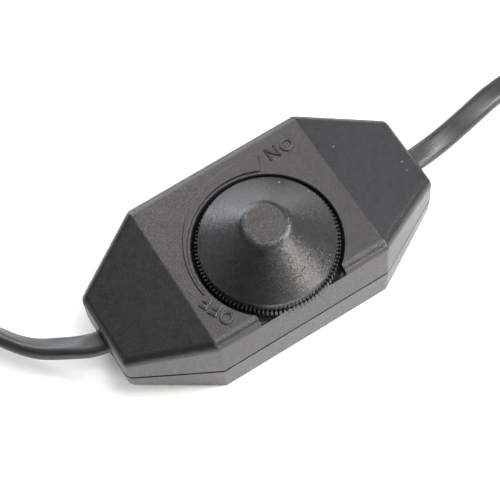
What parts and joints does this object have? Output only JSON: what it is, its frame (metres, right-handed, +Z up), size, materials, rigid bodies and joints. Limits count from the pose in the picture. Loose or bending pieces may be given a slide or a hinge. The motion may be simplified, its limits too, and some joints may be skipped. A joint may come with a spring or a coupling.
{
  "type": "inline cord dimmer",
  "caption": "Faceted black inline dimmer for a flat low-voltage lead, with a conical knurled rotary knob in a recess and a raised wedge mark from off to on.",
  "frame": {"origin": "centre of the housing's flat underside", "axes": "+X along the housing towards the output lead, +Y to the back, away from the knob's notch, +Z up"},
  "size_m": [0.2425, 0.0548, 0.0377],
  "materials": {
    "housing_black": "fine spark-eroded satin",
    "knob_black": "fine satin with a slight sheen",
    "cord_black": "smooth extruded sheath",
    "connector_black": "moulded",
    "screw_steel": "zinc plated",
    "pot_steel": "tin plated",
    "shaft_aluminium": "turned",
    "sink_aluminium": "rolled sheet",
    "bush_brass": "turned",
    "contact_nickel": "nickel plated",
    "track_phenolic": "pressed laminate",
    "board_laminate": "solder resist",
    "part_black": "moulded",
    "ferrite": "sintered",
    "winding_copper": "enamelled wire",
    "capacitor_sleeve": "shrunk sleeve",
    "film_yellow": "dipped",
    "resistor_tan": "lacquered",
    "wire_red": "extruded",
    "wire_black": "extruded"
  },
  "bodies": {
    "housing": {"upper_housing": "housing_black", "lower_housing": "housing_black", "pot_case": "pot_steel", "pot_bush": "bush_brass", "pot_track": "track_phenolic", "pot_terminals": "pot_steel", "switch_case": "part_black", "switch_terminals": "pot_steel", "circuit_board": "board_laminate", "power_transistor": "part_black", "heat_sink": "sink_aluminium", "heat_sink_screw": "screw_steel", "heat_sink_nut": "screw_steel", "choke_core": "ferrite", "choke_winding": "winding_copper", "reservoir_capacitor": "capacitor_sleeve", "timer_chip": "part_black", "timing_capacitor": "film_yellow", "resistors": "resistor_tan", "diode": "part_black", "housing_screws": "screw_steel", "board_screws": "screw_steel", "clamp_screws": "screw_steel", "input_cord_clamp": "part_black", "output_cord_clamp": "part_black", "input_plus_wire": "wire_red", "input_minus_wire": "wire_black", "output_plus_wire": "wire_red", "output_minus_wire": "wire_black", "input_cord": "cord_black", "input_socket_body": "connector_black", "input_socket_contact": "contact_nickel", "input_socket_pin": "contact_nickel", "output_cord": "cord_black", "output_plug_body": "connector_black", "output_plug_barrel": "contact_nickel", "output_plug_core": "connector_black"},
    "knob": {"control_knob": "knob_black", "pot_shaft": "shaft_aluminium", "pot_wiper": "track_phenolic"}
  },
  "joints": [
    {"name": "knob_turn", "type": "hinge", "parent": "housing", "child": "knob", "pos_m": [0, -0.0048, 0.03], "axis": [0, 0, -1], "range_deg": [0, 280]}
  ]
}
